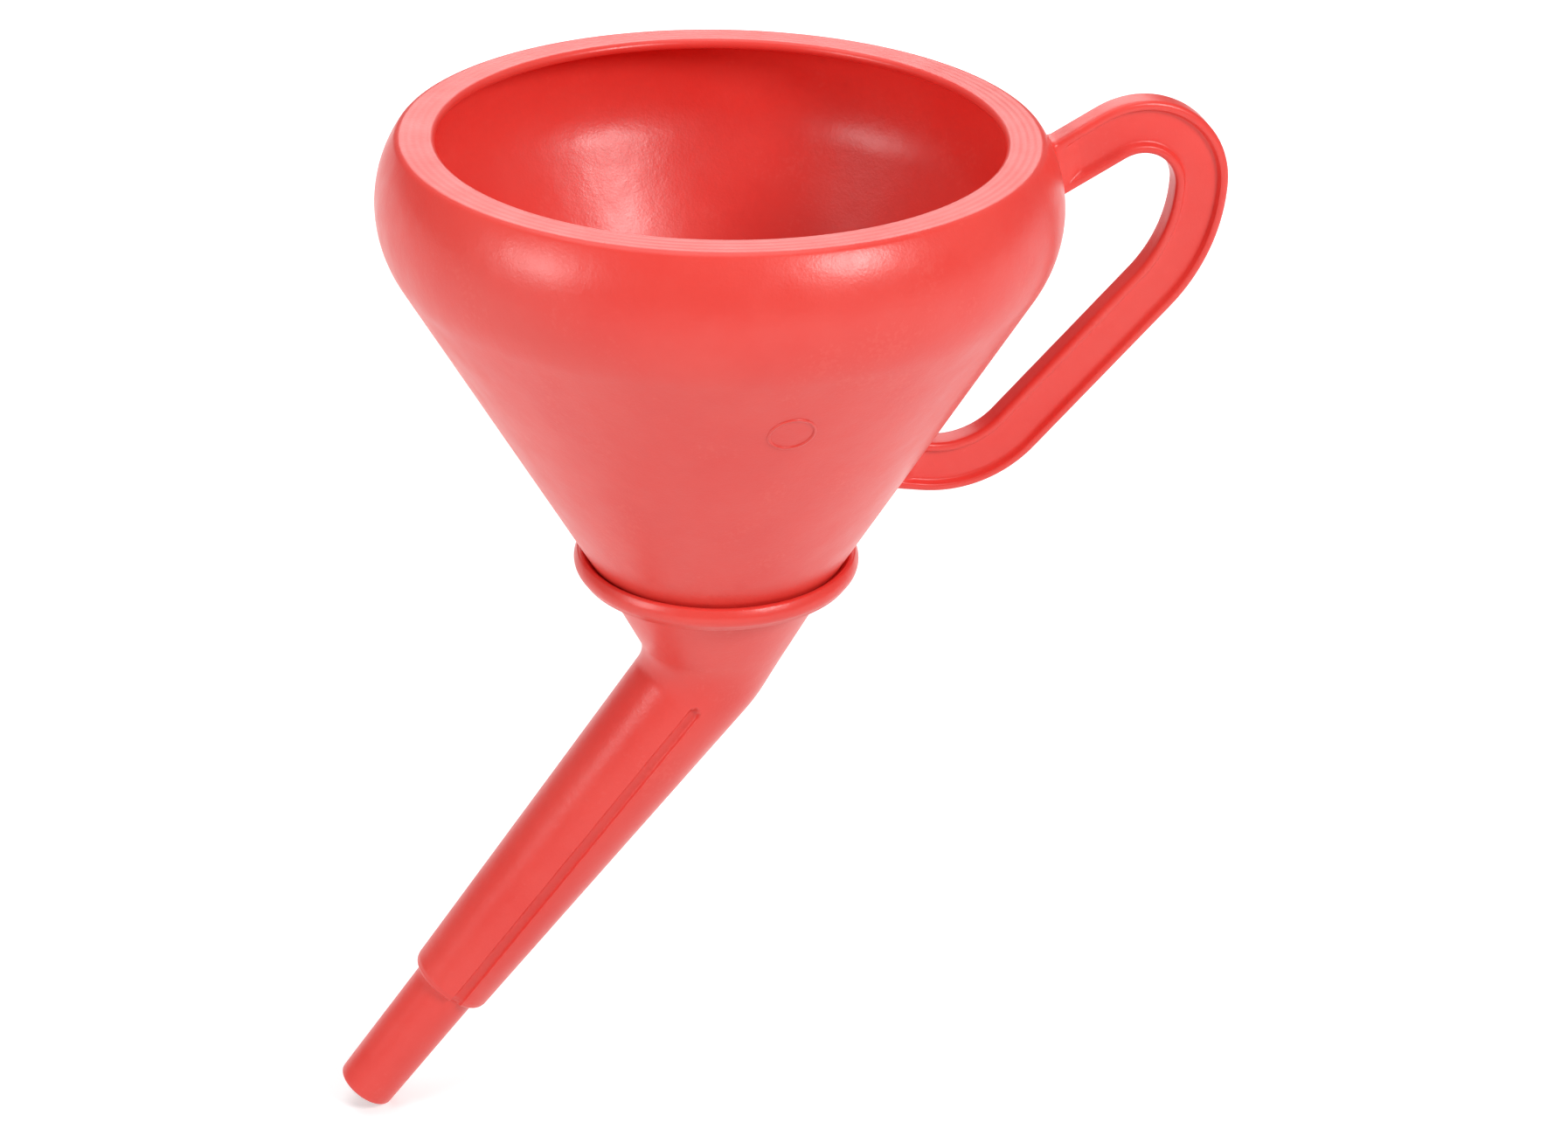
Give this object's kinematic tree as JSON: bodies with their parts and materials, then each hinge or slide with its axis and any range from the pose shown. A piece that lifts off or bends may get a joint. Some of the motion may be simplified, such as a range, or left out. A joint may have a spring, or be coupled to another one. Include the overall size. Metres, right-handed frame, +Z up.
{
  "type": "filling funnel",
  "caption": "Round filling funnel with an inward splash lip, a loop handle at the side, an angled two-step spout and a lift-out mesh strainer.",
  "frame": {"origin": "centre of the outlet at the lower end of the spout's tip", "axes": "+Z up along the bowl's axis, +X towards the handle, -X the way the spout reaches; the XZ plane is the plane of symmetry"},
  "size_m": [0.2195, 0.16, 0.268],
  "materials": {
    "red_polyethylene": "semi-matte moulded polyethylene",
    "strainer_plastic": "semi-matte moulded polyethylene",
    "brass_mesh": "fine woven brass wire"
  },
  "bodies": {
    "spout": {"spout": "red_polyethylene"},
    "bowl": {"bowl": "red_polyethylene", "handle": "red_polyethylene"},
    "strainer": {"strainer_frame": "strainer_plastic", "strainer_mesh": "brass_mesh"}
  },
  "joints": [
    {"name": "bowl_swivel", "type": "hinge", "parent": "spout", "child": "bowl", "pos_m": [0.09165, 0, 0.14881], "axis": [0, 0, 1], "continuous": true},
    {"name": "strainer_lift", "type": "slide", "parent": "bowl", "child": "strainer", "axis": [0, 0, 1], "range_m": [0, 0.13]}
  ]
}
